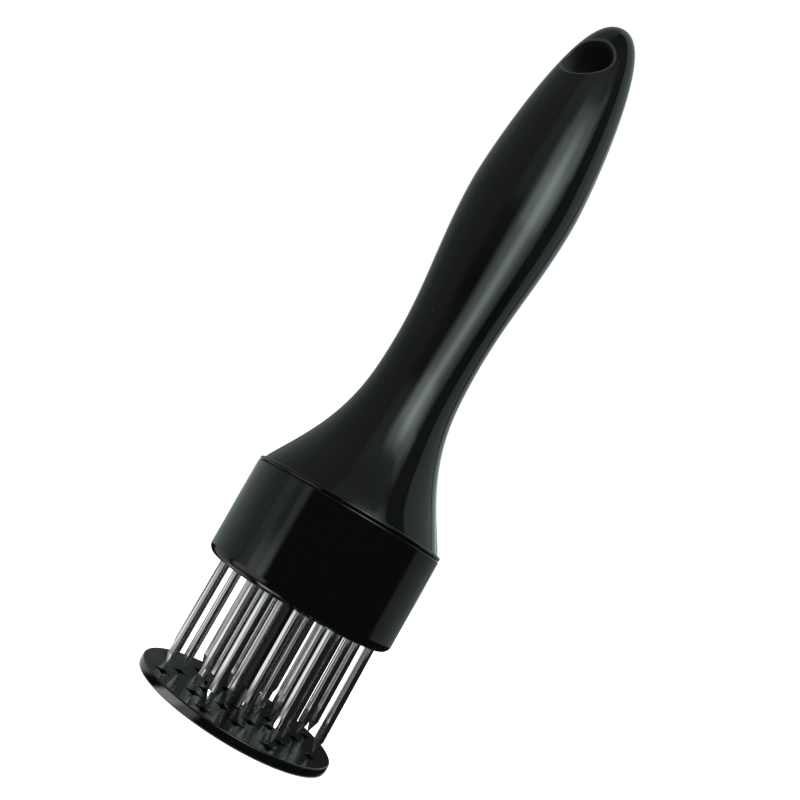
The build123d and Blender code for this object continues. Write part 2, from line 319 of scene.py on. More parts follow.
class NodeSheet:
    """A small helper that adds and joins nodes in one node tree."""

    def __init__(self, tree: NodeTree) -> None:
        """Keep the tree.

        Args:
            tree: The node tree to fill.
        """
        self.tree = tree

    def add(self, kind: str, **settings: object) -> Node:
        """Add a node.

        Args:
            kind: The node's type name.
            **settings: Properties of the node.

        Returns:
            The new node.
        """
        node = self.tree.nodes.new(kind)
        for key, value in settings.items():
            setattr(node, key, value)
        return node

    def join(self, source: NodeSocket, target: NodeSocket) -> None:
        """Link an output to an input."""
        self.tree.links.new(source, target)

    def feed(self, node: Node, socket: int | str, value: object) -> None:
        """Set an input to a number, or link it to an output.

        Args:
            node: The node that takes the value.
            socket: The input's name or number.
            value: A number, a tuple or another node's output.
        """
        if isinstance(value, NodeSocket):
            self.join(value, node.inputs[socket])
        else:
            node.inputs[socket].default_value = value

    def fill(self, node: Node, **values: object) -> None:
        """Feed several inputs, each under its name with underscores for spaces."""
        for key, value in values.items():
            self.feed(node, key.replace("_", " "), value)

    def math(self, operation: str, *values: object) -> NodeSocket:
        """Work values out with Math nodes, from the first to the last.

        Args:
            operation: The nodes' operation.
            *values: Numbers or outputs.

        Returns:
            The result's socket.
        """
        result = values[0]
        for value in values[1:] or (0.0,):
            node = self.add("ShaderNodeMath", operation=operation)
            self.feed(node, 0, result)
            self.feed(node, 1, value)
            result = node.outputs[0]
        return result

    def length(self, across: NodeSocket, up: NodeSocket) -> NodeSocket:
        """Length of a flat vector, from its two parts."""
        squares = self.math("ADD", self.math("MULTIPLY", across, across), self.math("MULTIPLY", up, up))
        return self.math("SQRT", squares)

    def split(self, vector: NodeSocket) -> tuple[NodeSocket, ...]:
        """Split a vector.

        Args:
            vector: The vector's socket.

        Returns:
            Sockets of its X, Y and Z.
        """
        node = self.add("ShaderNodeSeparateXYZ")
        self.join(vector, node.inputs[0])
        return tuple(node.outputs)

    def band(self, value: NodeSocket, low: float, high: float, out_low: float = 0.0,
             out_high: float = 1.0) -> NodeSocket:
        """Map a value smoothly from one range to another.

        Args:
            value: The value to map.
            low: Start of its range.
            high: End of its range.
            out_low: Result at the start.
            out_high: Result at the end.

        Returns:
            The mapped value's socket.
        """
        node = self.add("ShaderNodeMapRange", interpolation_type="SMOOTHSTEP")
        self.fill(node, Value=value, From_Min=low, From_Max=high, To_Min=out_low, To_Max=out_high)
        return node.outputs["Result"]

    def window(self, value: NodeSocket, low: float, high: float, soft: float) -> NodeSocket:
        """A mask that is one between two limits, with soft edges.

        Args:
            value: The value to test.
            low: The lower limit.
            high: The upper limit.
            soft: How far each edge reaches to both sides.

        Returns:
            The mask's socket.
        """
        return self.math("MULTIPLY", self.band(value, low - soft, low + soft),
                         self.band(value, high - soft, high + soft, 1.0, 0.0))

    def noise(self, vector: NodeSocket, scale: object, detail: float,
              stretch: Point = (1, 1, 1)) -> NodeSocket:
        """Add a noise, stretched along an axis where its scale is small.

        Args:
            vector: Surface coordinates.
            scale: Noise scale, a number or an output.
            detail: Number of octaves.
            stretch: Scale of the coordinates before the noise.

        Returns:
            The noise's value.
        """
        mapping = self.add("ShaderNodeMapping")
        self.fill(mapping, Vector=vector, Scale=stretch)
        node = self.add("ShaderNodeTexNoise")
        self.fill(node, Vector=mapping.outputs[0], Scale=scale, Detail=detail)
        return node.outputs["Fac"]

    def mix(self, share: object, first: object, second: object) -> NodeSocket:
        """Mix two colours.

        Args:
            share: How much of the second colour.
            first: First colour.
            second: Second colour.

        Returns:
            The mixed colour.
        """
        node = self.add("ShaderNodeMix", data_type="RGBA")
        self.feed(node, 0, share)
        self.feed(node, 6, first)
        self.feed(node, 7, second)
        return node.outputs[2]


def blank_material(name: str) -> tuple[Material, NodeSheet, Node]:
    """Start a material.

    Args:
        name: The material's name.

    Returns:
        The material, its node sheet and its shader.
    """
    material = bpy.data.materials.new(name)
    material.use_nodes = True
    return material, NodeSheet(material.node_tree), material.node_tree.nodes["Principled BSDF"]


class EffectGroup:
    """A node group that paints a surface from its coordinates: colour, roughness and height."""

    name = "effect"
    metallic = 0.0
    inputs: dict[str, float | tuple[float, ...]] = {}

    def __init__(self) -> None:
        """Make the group's sockets and fill its tree."""
        self.tree = bpy.data.node_groups.new(self.name, "ShaderNodeTree")
        self.socket("Place", "Vector", "INPUT")
        for label, value in self.inputs.items():
            kind = "Float" if isinstance(value, float) else "Color"
            self.socket(label, kind, "INPUT").default_value = value
        for label, kind in (("Colour", "Color"), ("Roughness", "Float"), ("Height", "Float")):
            self.socket(label, kind, "OUTPUT")
        self.sheet = NodeSheet(self.tree)
        self.given = self.sheet.add("NodeGroupInput").outputs
        leave = self.sheet.add("NodeGroupOutput")
        for label, value in self.wire().items():
            self.sheet.join(value, leave.inputs[label])

    def socket(self, label: str, kind: str, side: str) -> NodeTreeInterfaceSocket:
        """Add a socket to the group's face."""
        return self.tree.interface.new_socket(name=label, in_out=side, socket_type=f"NodeSocket{kind}")

    def wire(self) -> dict[str, NodeSocket]:
        """Build the effect, and return the value of each output by its name."""
        raise NotImplementedError

    def finish(self, name: str, depth: float, **values: float | Colour) -> Material:
        """Build a material out of the effect.

        Args:
            name: The material's name.
            depth: Depth of the relief in millimetres.
            **values: The group's inputs, with underscores for spaces.

        Returns:
            The finished material.
        """
        material, sheet, shader = blank_material(name)
        node = sheet.add("ShaderNodeGroup", node_tree=self.tree)
        sheet.join(sheet.add("ShaderNodeTexCoord").outputs["Object"], node.inputs["Place"])
        for key, value in values.items():
            opaque = (*value, 1.0) if isinstance(value, tuple) else value
            sheet.feed(node, key.replace("_", " ").capitalize(), opaque)
        bump = sheet.add("ShaderNodeBump")
        sheet.fill(bump, Strength=1.0, Distance=depth * METRE, Height=node.outputs["Height"])
        sheet.fill(shader, Metallic=self.metallic, Base_Color=node.outputs["Colour"],
                   Roughness=node.outputs["Roughness"], Normal=bump.outputs["Normal"])
        return material


class MouldedSkin(EffectGroup):
    """The skin of a polished moulding: a faint ripple, hairline rubs and a little lint.

    A bore along Y may be left matt, with a painted highlight on its rim: a paler ring that stands in for
    the light its rounded lip catches.
    """

    name = "moulded_skin"
    inputs = {
        "Colour": (0.01, 0.01, 0.01, 1.0), "Lint colour": (0.3, 0.3, 0.3, 1.0), "Gloss": 0.1, "Rub": 0.2,
        "Lint": 0.1, "Bore level": 0.0, "Bore radius": -0.001,
    }
    bore_edge = (0.0002, 0.0)
    # Limits of the painted rim highlight round the bore, in metres outside it.
    rim_start = (0.0001, 0.0003)
    rim_end = (0.0009, 0.0006)
    rub_roughness = 0.18
    cloud_roughness = 0.02
    bore_roughness = 0.75
    rub_depth = 0.25
    rim_highlight_share = 0.2

    def wire(self) -> dict[str, NodeSocket]:
        """Ripple and hairlines make the height, rubs, clouds and the bore dull the gloss.

        Returns:
            The value of each output by its name.
        """
        sheet, given = self.sheet, self.given
        place = given["Place"]
        ripple = sheet.noise(place, 420.0, 1.0)
        long_rubs = sheet.band(sheet.noise(place, 900.0, 2.0, (4.0, 4.0, 0.12)), 0.66, 0.72)
        cross_rubs = sheet.band(sheet.noise(place, 700.0, 2.0, (0.2, 3.0, 5.0)), 0.68, 0.74)
        rubs = sheet.math("MULTIPLY", sheet.math("MAXIMUM", long_rubs, cross_rubs), given["Rub"])
        cloud = sheet.band(sheet.noise(place, 60.0, 3.0), 0.45, 0.75)
        speck = sheet.band(sheet.noise(place, 2600.0, 1.0), 0.74, 0.80)
        lint = sheet.math("MULTIPLY", speck, cloud, given["Lint"])
        outside = self.bore_distance()
        bore = sheet.band(outside, *self.bore_edge)
        # Painted highlight: a paler ring round the bore's rim stands in for the light its rounded lip
        # catches; the Rub setting scales it, and it takes the lint's colour.
        rim = sheet.math("MULTIPLY", sheet.band(outside, *self.rim_start),
                         sheet.band(outside, *self.rim_end))
        rim_highlight = sheet.math("MULTIPLY", rim, given["Rub"], self.rim_highlight_share)
        pale = sheet.math("MAXIMUM", lint, rim_highlight)
        dulled = sheet.math("ADD", given["Gloss"], sheet.math("MULTIPLY", rubs, self.rub_roughness),
                            sheet.math("MULTIPLY", cloud, self.cloud_roughness))
        matt = sheet.math("MULTIPLY", bore, self.bore_roughness)
        return {
            "Colour": sheet.mix(pale, given["Colour"], given["Lint colour"]),
            "Roughness": sheet.math("MAXIMUM", dulled, matt),
            "Height": sheet.math("ADD", ripple, sheet.math("MULTIPLY", rubs, -self.rub_depth)),
        }

    def bore_distance(self) -> NodeSocket:
        """How far a point lies outside the bore through the axis, in metres.

        Returns:
            The distance's socket.
        """
        across, _, height = self.sheet.split(self.given["Place"])
        up = self.sheet.math("SUBTRACT", height, self.given["Bore level"])
        return self.sheet.math("SUBTRACT", self.sheet.length(across, up), self.given["Bore radius"])


class DrawnGrain(EffectGroup):
    """Polished steel with a fine grain along the blade, a faint straw stain and a ground point."""

    name = "drawn_grain"
    metallic = 1.0
    inputs = {
        "Colour": (0.7, 0.7, 0.7, 1.0), "Stain": (0.5, 0.48, 0.45, 1.0), "Polish": 0.12, "Grain": 0.5,
        "Point level": -0.001,
    }
    ground_edge = (0.0002, -0.0002)
    stain_share = 0.45
    grain_roughness = 0.35
    ground_roughness = 0.12

    def wire(self) -> dict[str, NodeSocket]:
        """A noise drawn out along Z makes the grain, a broad one the stain, and the point is duller.

        Returns:
            The value of each output by its name.
        """
        sheet, given = self.sheet, self.given
        place = given["Place"]
        grain = sheet.noise(place, 2200.0, 2.0, (1.3, 1.3, 0.03))
        patches = sheet.band(sheet.noise(place, 160.0, 3.0), 0.52, 0.8)
        stained = sheet.math("MULTIPLY", patches, self.stain_share)
        spread = sheet.math("MULTIPLY", sheet.math("SUBTRACT", grain, 0.5), given["Grain"])
        above = sheet.math("SUBTRACT", sheet.split(place)[2], given["Point level"])
        ground = sheet.band(above, *self.ground_edge, 0.0, self.ground_roughness)
        return {
            "Colour": sheet.mix(stained, given["Colour"], given["Stain"]),
            "Roughness": sheet.math("ADD", given["Polish"],
                                    sheet.math("MULTIPLY", spread, self.grain_roughness), ground),
            "Height": spread,
        }


class MattGrain(EffectGroup):
    """An unpolished moulding: a fine even grain with slow changes of tone."""

    name = "matt_grain"
    inputs = {
        "Colour": (0.1, 0.1, 0.1, 1.0), "Shade": (0.08, 0.08, 0.08, 1.0), "Roughness": 0.5, "Size": 1800.0,
    }
    roughness_swing = 0.2

    def wire(self) -> dict[str, NodeSocket]:
        """A fine noise makes the grain, and a broad one the tone.

        Returns:
            The value of each output by its name.
        """
        sheet, given = self.sheet, self.given
        place = given["Place"]
        grain = sheet.noise(place, given["Size"], 2.0)
        tone = sheet.band(sheet.noise(place, 140.0, 2.0), 0.35, 0.7)
        swing = sheet.math("MULTIPLY", sheet.math("SUBTRACT", grain, 0.5), self.roughness_swing)
        return {
            "Colour": sheet.mix(tone, given["Colour"], given["Shade"]),
            "Roughness": sheet.math("ADD", given["Roughness"], swing),
            "Height": grain,
        }


class FinishRack:
    """Every finish of the tool, built once."""

    def __init__(self) -> None:
        """Build the groups and the materials."""
        skin = MouldedSkin()
        grain = DrawnGrain()
        matt = MattGrain()
        self.handle = skin.finish("handle_polished_black", 0.006, colour=(0.0014, 0.0015, 0.0015),
                                  gloss=0.035, rub=0.3, lint=0.25, bore_level=189.7 * METRE,
                                  bore_radius=6.3 * METRE)
        self.collar = skin.finish("collar_polished_black", 0.004, colour=(0.0015, 0.0015, 0.0016),
                                  gloss=0.045, rub=0.3, lint=0.2)
        self.guard = skin.finish("guard_polished_black", 0.0015, colour=(0.0015, 0.0017, 0.0016),
                                 gloss=0.16, rub=0.4, lint=0.3)
        self.rod = skin.finish("rod_satin_black", 0.006, colour=(0.004, 0.004, 0.004),
                               gloss=0.22, rub=0.6, lint=0.1)
        self.blade = grain.finish("needle_polished_steel", 0.0007, colour=(0.84, 0.85, 0.85),
                                  stain=(0.70, 0.69, 0.66), polish=0.08, grain=0.15,
                                  point_level=6.4 * METRE)
        self.wire = grain.finish("spring_drawn_wire", 0.006, colour=(0.55, 0.55, 0.56),
                                 stain=(0.42, 0.41, 0.39), polish=0.24, grain=0.6)
        self.sheet_steel = grain.finish("clamp_plain_sheet", 0.008, colour=(0.6, 0.61, 0.62),
                                        stain=(0.5, 0.49, 0.47), polish=0.3, grain=0.8)
        self.screw = grain.finish("screw_zinc_plate", 0.006, colour=(0.6, 0.6, 0.6),
                                  stain=(0.5, 0.48, 0.4), polish=0.26, grain=0.5)
        self.inner = matt.finish("inner_unpolished_black", 0.01, colour=(0.05, 0.05, 0.055),
                                 shade=(0.035, 0.035, 0.04), roughness=0.5, size=1800.0)
        self.bush = matt.finish("bush_natural_acetal", 0.01, colour=(0.75, 0.74, 0.7),
                                shade=(0.7, 0.69, 0.64), roughness=0.4, size=2400.0)


# ---- Sub-assemblies ----


class SubAssembly:
    """A group of pieces that ride on one body."""

    carrier = Carrier.HANDLE

    def publish(self, bm: BMesh, name: str, slot: str, material: Material,
                nodes: tuple[str, ...], sharp: float = 32.0) -> Object:
        """Turn a finished mesh into a piece that stands for CAD nodes.

        Args:
            bm: The mesh in millimetres, freed here.
            name: The piece's name.
            slot: The part's material slot; not used.
            material: The finish.
            nodes: The CAD nodes that the piece replaces.
            sharp: Edges turned by more than this many degrees stay sharp.

        Returns:
            The piece.
        """
        bmesh.ops.remove_doubles(bm, verts=bm.verts[:], dist=MERGE)
        bmesh.ops.recalc_face_normals(bm, faces=bm.faces[:])
        curved = [face.smooth for face in bm.faces]
        mesh = as_mesh(bm, name, material)
        mesh.set_sharp_from_angle(angle=math.radians(sharp))
        mesh.polygons.foreach_set("use_smooth", curved)
        piece = put_up(mesh)
        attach(piece, self.carrier.value)
        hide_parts(*nodes)
        log.info("%s: %d faces, on %s", name, len(mesh.polygons), self.carrier.value)
        return piece

    def dress(self, nodes: tuple[str, ...], material: Material) -> None:
        """Give CAD nodes that stay a finish.

        Args:
            nodes: The nodes' names.
            material: The finish.
        """
        for node in nodes:
            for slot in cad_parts[node].material_slots:
                slot.material = material
            log.info("%s: carried over as %s", node, material.name)


@dataclass
class HandleShells(SubAssembly):
    """The hollow handle: two moulded half shells that meet in a fine groove."""

    seam: float = 56.3
    height: float = 149.0
    waist_height: float = 43.7
    belly_height: float = 94.0
    rim_radius: float = 25.1
    waist_half_width: float = 11.5
    belly_half_width: float = 15.1
    flare_lead: float = 1.2
    flare_power: float = 2.8
    crown_lead: float = 1.45
    crown_power: float = 2.6
    grip_flatness: float = 0.88
    flatness_start: float = 25.0
    flatness_end: float = 62.0
    lip_radius: float = 25.5
    lip_height: float = 1.1
    lip_fillet: float = 0.45
    lip_steps: int = 5
    wall: float = 2.3
    cavity_start: float = 3.0
    cavity_top: float = 120.5
    spigot_radius: float = 23.5
    spigot_bore: float = 21.5
    spigot_foot: float = 47.9
    hole_radius: float = 6.3
    hole_from_top: float = 15.6
    hole_fillet: float = 0.8
    hole_segments: int = 144
    rim_steps: int = 8
    hole_clearing: float = 1.1
    hole_border: float = 0.4
    slope_step: float = 0.05
    front_limit: float = -1.0
    groove_half_width: float = 0.22
    groove_depth: float = 0.8
    groove_loss: float = 0.8
    columns: int = 120
    crown_rows: int = 84
    crown_crowding: float = 2.2
    grip_rows: int = 40
    flare_rows: int = 60
    flare_crowding: float = 1.25
    cavity_rows: int = 40

    def half_width(self, height: float) -> float:
        """Half the handle's broad width.

        Args:
            height: Height above the seam.

        Returns:
            The half width there.
        """
        if height < self.waist_height:
            share = share_between(0.0, self.waist_height, height)
            flare = (1 - share**self.flare_lead) ** self.flare_power
            return blend(self.waist_half_width, self.rim_radius, flare)
        if height < self.belly_height:
            share = share_between(self.waist_height, self.belly_height, height)
            swell = (1 - math.cos(math.pi * share)) / 2
            return blend(self.waist_half_width, self.belly_half_width, swell)
        share = share_between(self.belly_height, self.height, height)
        return self.belly_half_width * (1 - share**self.crown_lead) ** (1 / self.crown_power)

    def flatness(self, height: float) -> float:
        """Depth over width of the handle's section.

        Args:
            height: Height above the seam.

        Returns:
            One at the round foot, less in the grip.
        """
        share = share_between(self.flatness_start, self.flatness_end, height)
        return 1 - (1 - self.grip_flatness) * share**2 * (3 - 2 * share)

    def outer_depth(self, across: float, height: float) -> float:
        """How far the outer skin stands in front of the parting plane.

        Args:
            across: Distance from the middle of the handle.
            height: Height above the seam.

        Returns:
            The depth of the skin.
        """
        width = self.half_width(height)
        return width * self.flatness(height) * math.sqrt(max(1 - (across / width) ** 2, 0.0))

    def profile(self) -> Profile:
        """The half section of the shell, from the tip over the outside and lip to the cavity's top.

        Returns:
            Points as radius and level, both ends on the axis.
        """
        crown = [blend(self.belly_height, self.height, 1 - (1 - i / self.crown_rows) ** self.crown_crowding)
                 for i in range(self.crown_rows + 1)]
        grip = [blend(self.waist_height, self.belly_height, i / self.grip_rows)
                for i in range(self.grip_rows)]
        flare = [blend(self.lip_height, self.waist_height, (i / self.flare_rows) ** self.flare_crowding)
                 for i in range(self.flare_rows)]
        outside = [(self.half_width(h), self.seam + h) for h in flare + grip + crown]
        outside[-1] = (0.0, self.seam + self.height)
        corner = self.lip_radius - self.lip_fillet
        top = arc((corner, self.seam + self.lip_height - self.lip_fillet), self.lip_fillet,
                  90, 0, self.lip_steps)
        bottom = arc((corner, self.seam + self.lip_fillet), self.lip_fillet, 0, -90, self.lip_steps)
        spigot = [(self.spigot_radius, self.seam), (self.spigot_radius, self.spigot_foot),
                  (self.spigot_bore, self.spigot_foot), (self.spigot_bore, self.seam + self.cavity_start)]
        inner = [blend(self.cavity_start, self.cavity_top, i / self.cavity_rows)
                 for i in range(self.cavity_rows + 1)]
        cavity = [(self.half_width(h) - self.wall, self.seam + h) for h in inner]
        return [*reversed(outside), *top, *bottom, *spigot, *cavity, (0.0, self.seam + self.cavity_top)]

    def flatten(self, bm: BMesh) -> None:
        """Press the round section into the grip's oval, with an even wall.

        Args:
            bm: The spun shell.
        """
        for vert in bm.verts:
            height = vert.co.z - self.seam
            width = self.half_width(height)
            flat = self.flatness(height)
            outer = math.hypot(vert.co.x, vert.co.y) > width - self.wall / 2
            bored = height > self.flatness_start and not outer
            vert.co.y *= (width * flat - self.wall) / (width - self.wall) if bored else flat

    def rim_point(self, turn: float, share: float) -> Vector:
        """A point on the rounded rim of the hanging hole.

        Args:
            turn: Angle round the hole.
            share: Zero on the skin, one where the rim meets the bore.

        Returns:
            The point in front of the parting plane.
        """
        level = self.height - self.hole_from_top
        edge = self.hole_radius + self.hole_fillet
        side, up = math.cos(turn), math.sin(turn)
        skin = self.outer_depth(edge * side, level + edge * up)
        probe = edge + self.slope_step
        slope = (self.outer_depth(probe * side, level + probe * up) - skin) / self.slope_step
        corner = skin - slope * self.hole_fillet
        points = ((edge, skin), (self.hole_radius, corner), (self.hole_radius, corner - self.hole_fillet))
        weights = ((1 - share) ** 2, 2 * share * (1 - share) * math.sqrt(0.5), share**2)
        radius, depth = (sum(weight * point[axis] for weight, point in zip(weights, points)) / sum(weights)
                         for axis in (0, 1))
        return Vector((radius * side, -depth, self.seam + level + radius * up))

    def bore_hanging_hole(self, bm: BMesh) -> None:
        """Open the hanging hole in the skin, round its rim and run the bore to the parting plane.

        Args:
            bm: The shell with its outer skin in place.
        """
        level = self.height - self.hole_from_top
        centre = Vector((0.0, 0.0, self.seam + level))
        edge = self.hole_radius + self.hole_fillet
        solid = self.seam + self.cavity_top + self.wall / 2
        middles = {face: face.calc_center_median() for face in bm.faces}
        near = [face for face, middle in middles.items()
                if middle.z > solid and middle.y < self.front_limit
                and math.hypot(middle.x, middle.z - centre.z) < edge + self.hole_clearing]
        bmesh.ops.delete(bm, geom=near, context="FACES")
        opening = [border for border in bm.edges
                   if border.is_boundary and border.verts[0].co.y < self.front_limit]
        turned = Matrix.Translation(centre) @ Matrix.Rotation(math.radians(90), 4, "X")
        ring = bmesh.ops.create_circle(bm, cap_ends=False, radius=edge + self.hole_border,
                                       segments=self.hole_segments, matrix=turned)["verts"]
        for vert in ring:
            vert.co.y = -self.outer_depth(vert.co.x, vert.co.z - self.seam)
        edges = loop_edges(ring)
        bmesh.ops.bridge_loops(bm, edges=opening + edges)
        for share in [i / self.rim_steps for i in range(self.rim_steps + 1)] + [None]:
            made = bmesh.ops.extrude_edge_only(bm, edges=edges)["geom"]
            edges = [border for border in picked(made, BMEdge) if border.is_boundary]
            for vert in picked(made, BMVert):
                turn = math.atan2(vert.co.z - self.seam - level, vert.co.x)
                point = self.rim_point(turn, 1.0 if share is None else share)
                vert.co = Vector((point.x, 0.0, point.z)) if share is None else point

    def groove_share(self, level: float) -> float:
        """How much of the parting groove is open: all up to the belly, and a fifth at the tip."""
        return 1 - self.groove_loss * share_between(self.belly_height, self.height, level - self.seam)

    def close_parting_face(self, bm: BMesh) -> None:
        """Turn a fine steep chamfer in along the parting line and fill the flat face behind it.

        Args:
            bm: The open half shell.
        """
        bmesh.ops.recalc_face_normals(bm, faces=bm.faces[:])
        bm.normal_update()
        outermost = max(bm.verts, key=lambda vert: -vert.co.y)
        outward = 1.0 if outermost.normal.y < 0 else -1.0
        rim = [edge for edge in bm.edges if edge.is_boundary]
        made = bmesh.ops.extrude_edge_only(bm, edges=rim)["geom"]
        inward = {vert: vert.normal.copy() for edge in rim for vert in edge.verts}
        at_place = {tuple(round(axis, 4) for axis in vert.co): normal for vert, normal in inward.items()}
        for vert in picked(made, BMVert):
            normal = at_place[tuple(round(axis, 4) for axis in vert.co)]
            step = Vector((normal.x, 0.0, normal.z))
            step = step.normalized() if step.length > 0 else step
            vert.co -= step * self.groove_depth * self.groove_share(vert.co.z) * outward
            vert.co.y = 0.0
        for vert in inward:
            vert.co.y = -self.groove_half_width * self.groove_share(vert.co.z)
        soften(bm)
        fill_flat(bm, [edge for edge in bm.edges if edge.is_boundary], Vector((0, 1, 0)))

    def build(self, rack: FinishRack) -> list[Object]:
        """Build both half shells.

        Args:
            rack: The tool's finishes.

        Returns:
            The front and the back shell.
        """
        front = bmesh.new()
        lathe(front, self.profile(), self.columns, 180.0)
        self.flatten(front)
        self.bore_hanging_hole(front)
        self.close_parting_face(front)
        back = front.copy()
        bmesh.ops.scale(back, vec=(1, -1, 1), verts=back.verts[:])
        return [
            self.publish(front, "handle_shell_front", "handle_black", rack.handle, ("handle_front",)),
            self.publish(back, "handle_shell_back", "handle_black", rack.handle, ("handle_back",)),
        ]


@dataclass
class Collar(SubAssembly):
    """The round collar: a cup with a rounded foot, star holes in its floor and a pocket in the middle."""

    bottom: float = 30.9
    seam: float = 56.3
    bottom_radius: float = 25.4
    top_radius: float = 25.55
    bore: float = 23.6
    floor: float = 3.0
    foot_fillet: float = 2.4
    foot_steps: int = 14
    rim_fillet: float = 0.35
    rim_steps: int = 5
    pocket_radius: float = 3.3
    hole_round: float = 0.08
    star: BladeStar = BladeStar(1.37, 0.57)
    rings: NeedleRings = NeedleRings()
    segments: int = 192
    pocket_segments: int = 64

    def build(self, rack: FinishRack) -> list[Object]:
        """Build the collar.

        Args:
            rack: The tool's finishes.

        Returns:
            The collar alone.
        """
        bm = bmesh.new()
        flat = self.bottom_radius - self.foot_fillet
        top = self.bottom + self.floor
        rounded = arc((flat, self.bottom + self.foot_fillet), self.foot_fillet, -90, 0, self.foot_steps)
        rim = arc((self.top_radius - self.rim_fillet, self.seam - self.rim_fillet), self.rim_fillet,
                  0, 90, self.rim_steps)
        rise = self.seam - self.rim_fillet - self.bottom - self.foot_fillet
        side = [(blend(self.bottom_radius, self.top_radius, share),
                 self.bottom + self.foot_fillet + rise * share)
                for share in (0.003, 0.2, 0.4, 0.6, 0.8, 0.997)]
        lathe(bm, [*rounded, *side, *rim, (self.bore, self.seam), (self.bore, top), (flat, top)],
              self.segments)
        lower = circle(bm, flat, self.bottom, self.segments)
        upper = circle(bm, flat, top, self.segments)
        levels = [(self.hole_round, self.bottom), (0.0, self.bottom + self.hole_round), (0.0, top)]
        below, above = self.rings.holes(bm, self.star, levels)
        pocket = [circle(bm, self.pocket_radius + offset, level, self.pocket_segments)
                  for offset, level in levels]
        bridge(bm, pocket)
        soften(bm)
        fill_flat(bm, lower + below + pocket[0], Vector((0, 0, -1)))
        fill_flat(bm, upper + above + pocket[-1], Vector((0, 0, 1)))
        return [self.publish(bm, "collar_cup", "collar_black", rack.collar, ("collar",))]


@dataclass
class NeedleField(SubAssembly):
    """Twenty-four headed blades whose four wings run in to a short point."""

    bottom: float = 3.4
    taper: float = 3.2
    head_bottom: float = 43.7
    head_height: float = 1.2
    head_radius: float = 1.6
    head_round: float = 0.12
    head_segments: int = 32
    point_share: float = 0.064
    edge_round: float = 0.05
    valley_round: float = 0.3
    shank_tilt: float = 0.05
    star: BladeStar = BladeStar(1.25, 0.45)
    rings: NeedleRings = NeedleRings()

    def draw_down(self, bm: BMesh, face: BMFace, drop: float) -> BMFace:
        """Extrude the section downwards.

        Args:
            bm: The blade's mesh.
            face: The section that is drawn on.
            drop: How far it goes.

        Returns:
            The new end face.
        """
        made = bmesh.ops.extrude_face_region(bm, geom=[face])["geom"]
        bmesh.ops.translate(bm, vec=(0, 0, -drop), verts=picked(made, BMVert))
        return picked(made, BMFace)[0]

    def blade(self, place: Spot) -> BMesh:
        """Build one blade.

        Args:
            place: Where the blade stands.

        Returns:
            The blade's mesh.
        """
        bm = bmesh.new()
        root = self.head_bottom + self.head_round
        corners = self.star.corners(bm, place, root, True)
        for chosen, size in ((corners[0::2], self.edge_round), (corners[1::2], self.valley_round)):
            bmesh.ops.bevel(bm, geom=chosen, offset=size, offset_type="OFFSET", segments=2,
                            profile=0.5, affect="VERTICES", material=-1)
        bm.faces.ensure_lookup_table()
        shank_end = self.draw_down(bm, bm.faces[0], root - self.bottom - self.taper)
        point = self.draw_down(bm, shank_end, self.taper)
        bmesh.ops.delete(bm, geom=[shank_end], context="FACES_ONLY")
        bmesh.ops.scale(bm, vec=(self.point_share, self.point_share, 1.0), verts=point.verts[:],
                        space=Matrix.Translation((-place[0], -place[1], 0)))
        bm.normal_update()
        for face in bm.faces:
            face.smooth = abs(face.normal.z) < self.shank_tilt
        centre = Matrix.Translation((*place, self.head_bottom + self.head_height / 2))
        head = bmesh.ops.create_cone(bm, cap_ends=True, segments=self.head_segments,
                                     radius1=self.head_radius, radius2=self.head_radius,
                                     depth=self.head_height, matrix=centre)
        brim = dict.fromkeys(edge for vert in head["verts"] for edge in vert.link_edges
                             if abs(edge.verts[0].co.z - edge.verts[1].co.z) < MERGE)
        bmesh.ops.bevel(bm, geom=list(brim), offset=self.head_round, segments=2, profile=0.5,
                        affect="EDGES", material=-1)
        return bm

    def build(self, rack: FinishRack) -> list[Object]:
        """Build every blade.

        Args:
            rack: The tool's finishes.

        Returns:
            The blades.
        """
        return [
            self.publish(self.blade(place), f"blade_{number:02d}", "needle_steel", rack.blade,
                         (f"needle_{number:02d}",), 35.0)
            for number, place in enumerate(self.rings.places(), start=1)
        ]


